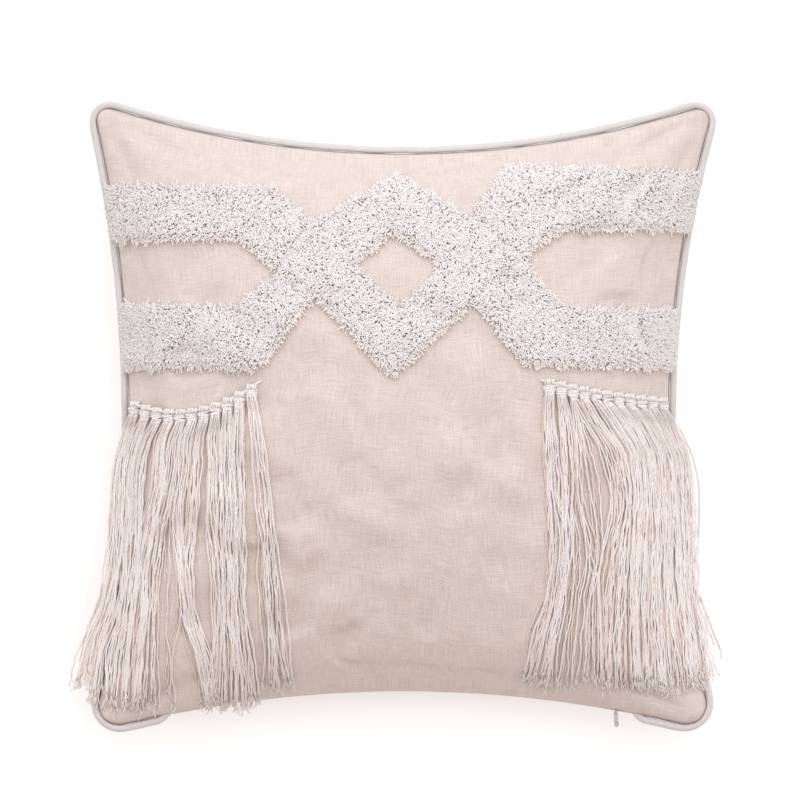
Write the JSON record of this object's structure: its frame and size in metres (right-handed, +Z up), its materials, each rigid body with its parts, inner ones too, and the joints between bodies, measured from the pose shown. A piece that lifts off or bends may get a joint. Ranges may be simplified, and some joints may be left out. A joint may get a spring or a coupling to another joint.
{
  "type": "throw pillow",
  "caption": "Square throw pillow with a piped canvas cover, tufted zigzag bands with a central diamond, two tasselled fringes, a concealed bottom zip and a soft insert.",
  "frame": {"origin": "centre of the flat patch on the back panel that the pillow rests on, on the floor", "axes": "+Z up out of the decorated face, +Y towards the top edge of the pattern, +X towards the right edge as the face is seen"},
  "size_m": [0.4609, 0.4635, 0.1543],
  "materials": {
    "canvas": "matte",
    "piping": "matte",
    "cord": "matte",
    "pile": "matte",
    "yarn": "matte",
    "lining": "matte",
    "fibre": "matte",
    "zip_tape": "matte",
    "zip_coil": "satin",
    "zip_metal": "satin"
  },
  "bodies": {
    "cushion": {"cover_front_panel": "canvas", "cover_back_panel": "canvas", "insert_casing_front": "lining", "insert_casing_back": "lining", "insert_fill": "fibre", "piping_sleeve": "piping", "piping_core": "cord", "zip_tape_front": "zip_tape", "zip_tape_back": "zip_tape", "zip_coil_front": "zip_coil", "zip_coil_back": "zip_coil", "zip_stop_open_end": "zip_metal", "zip_stop_closed_end": "zip_metal", "tuft_diamond": "pile", "tuft_left_upper": "pile", "tuft_left_lower": "pile", "tuft_right_upper": "pile", "tuft_right_lower": "pile", "fringe_cord_left": "yarn", "fringe_cord_right": "yarn"},
    "tassel_left_01": {"tassel_left_01": "yarn"},
    "tassel_left_02": {"tassel_left_02": "yarn"},
    "tassel_left_03": {"tassel_left_03": "yarn"},
    "tassel_left_04": {"tassel_left_04": "yarn"},
    "tassel_left_05": {"tassel_left_05": "yarn"},
    "tassel_left_06": {"tassel_left_06": "yarn"},
    "tassel_left_07": {"tassel_left_07": "yarn"},
    "tassel_left_08": {"tassel_left_08": "yarn"},
    "tassel_left_09": {"tassel_left_09": "yarn"},
    "tassel_left_10": {"tassel_left_10": "yarn"},
    "tassel_left_11": {"tassel_left_11": "yarn"},
    "tassel_right_01": {"tassel_right_01": "yarn"},
    "tassel_right_02": {"tassel_right_02": "yarn"},
    "tassel_right_03": {"tassel_right_03": "yarn"},
    "tassel_right_04": {"tassel_right_04": "yarn"},
    "tassel_right_05": {"tassel_right_05": "yarn"},
    "tassel_right_06": {"tassel_right_06": "yarn"},
    "tassel_right_07": {"tassel_right_07": "yarn"},
    "tassel_right_08": {"tassel_right_08": "yarn"},
    "tassel_right_09": {"tassel_right_09": "yarn"},
    "tassel_right_10": {"tassel_right_10": "yarn"},
    "tassel_right_11": {"tassel_right_11": "yarn"},
    "zip_slider": {"zip_slider": "zip_metal"},
    "zip_pull": {"zip_pull": "zip_metal"}
  },
  "joints": [
    {"name": "tassel_left_01_swing", "type": "hinge", "parent": "cushion", "child": "tassel_left_01", "pos_m": [-0.1965, 0.00945, 0.08405], "axis": [-1, 0, 0], "range_deg": [0, 120]},
    {"name": "tassel_left_02_swing", "type": "hinge", "parent": "cushion", "child": "tassel_left_02", "pos_m": [-0.18785, 0.00663, 0.09395], "axis": [-1, 0, 0], "range_deg": [0, 120]},
    {"name": "tassel_left_03_swing", "type": "hinge", "parent": "cushion", "child": "tassel_left_03", "pos_m": [-0.1792, 0.00471, 0.10171], "axis": [-1, 0, 0], "range_deg": [0, 120]},
    {"name": "tassel_left_04_swing", "type": "hinge", "parent": "cushion", "child": "tassel_left_04", "pos_m": [-0.17055, 0.00368, 0.10823], "axis": [-1, 0, 0], "range_deg": [0, 120]},
    {"name": "tassel_left_05_swing", "type": "hinge", "parent": "cushion", "child": "tassel_left_05", "pos_m": [-0.1619, 0.00356, 0.11389], "axis": [-1, 0, 0], "range_deg": [0, 120]},
    {"name": "tassel_left_06_swing", "type": "hinge", "parent": "cushion", "child": "tassel_left_06", "pos_m": [-0.15325, 0.00433, 0.11889], "axis": [-1, 0, 0], "range_deg": [0, 120]},
    {"name": "tassel_left_07_swing", "type": "hinge", "parent": "cushion", "child": "tassel_left_07", "pos_m": [-0.1446, 0.006, 0.12333], "axis": [-1, 0, 0], "range_deg": [0, 120]},
    {"name": "tassel_left_08_swing", "type": "hinge", "parent": "cushion", "child": "tassel_left_08", "pos_m": [-0.13595, 0.00856, 0.1273], "axis": [-1, 0, 0], "range_deg": [0, 120]},
    {"name": "tassel_left_09_swing", "type": "hinge", "parent": "cushion", "child": "tassel_left_09", "pos_m": [-0.1273, 0.01203, 0.13083], "axis": [-1, 0, 0], "range_deg": [0, 120]},
    {"name": "tassel_left_10_swing", "type": "hinge", "parent": "cushion", "child": "tassel_left_10", "pos_m": [-0.11865, 0.01639, 0.13394], "axis": [-1, 0, 0], "range_deg": [0, 120]},
    {"name": "tassel_left_11_swing", "type": "hinge", "parent": "cushion", "child": "tassel_left_11", "pos_m": [-0.11, 0.02165, 0.13662], "axis": [-1, 0, 0], "range_deg": [0, 120]},
    {"name": "tassel_right_01_swing", "type": "hinge", "parent": "cushion", "child": "tassel_right_01", "pos_m": [0.1055, 0.02538, 0.1357], "axis": [-1, 0, 0], "range_deg": [0, 120]},
    {"name": "tassel_right_02_swing", "type": "hinge", "parent": "cushion", "child": "tassel_right_02", "pos_m": [0.1139, 0.02352, 0.13292], "axis": [-1, 0, 0], "range_deg": [0, 120]},
    {"name": "tassel_right_03_swing", "type": "hinge", "parent": "cushion", "child": "tassel_right_03", "pos_m": [0.1223, 0.02177, 0.12981], "axis": [-1, 0, 0], "range_deg": [0, 120]},
    {"name": "tassel_right_04_swing", "type": "hinge", "parent": "cushion", "child": "tassel_right_04", "pos_m": [0.1307, 0.02015, 0.12633], "axis": [-1, 0, 0], "range_deg": [0, 120]},
    {"name": "tassel_right_05_swing", "type": "hinge", "parent": "cushion", "child": "tassel_right_05", "pos_m": [0.1391, 0.01865, 0.12244], "axis": [-1, 0, 0], "range_deg": [0, 120]},
    {"name": "tassel_right_06_swing", "type": "hinge", "parent": "cushion", "child": "tassel_right_06", "pos_m": [0.1475, 0.01727, 0.1181], "axis": [-1, 0, 0], "range_deg": [0, 120]},
    {"name": "tassel_right_07_swing", "type": "hinge", "parent": "cushion", "child": "tassel_right_07", "pos_m": [0.1559, 0.01601, 0.11322], "axis": [-1, 0, 0], "range_deg": [0, 120]},
    {"name": "tassel_right_08_swing", "type": "hinge", "parent": "cushion", "child": "tassel_right_08", "pos_m": [0.1643, 0.01487, 0.10769], "axis": [-1, 0, 0], "range_deg": [0, 120]},
    {"name": "tassel_right_09_swing", "type": "hinge", "parent": "cushion", "child": "tassel_right_09", "pos_m": [0.1727, 0.01385, 0.10132], "axis": [-1, 0, 0], "range_deg": [0, 120]},
    {"name": "tassel_right_10_swing", "type": "hinge", "parent": "cushion", "child": "tassel_right_10", "pos_m": [0.1811, 0.01295, 0.09376], "axis": [-1, 0, 0], "range_deg": [0, 120]},
    {"name": "tassel_right_11_swing", "type": "hinge", "parent": "cushion", "child": "tassel_right_11", "pos_m": [0.1895, 0.01217, 0.08411], "axis": [-1, 0, 0], "range_deg": [0, 120]},
    {"name": "zip_slide", "type": "hinge", "parent": "cushion", "child": "zip_slider", "pos_m": [0, -1.06602, 0.064], "axis": [0, 0, 1], "range_deg": [0, 21.08]},
    {"name": "pull_swing", "type": "hinge", "parent": "zip_slider", "child": "zip_pull", "pos_m": [0.15553, -0.21774, 0.064], "axis": [0, 0, 1], "range_deg": [-85, 20]}
  ]
}
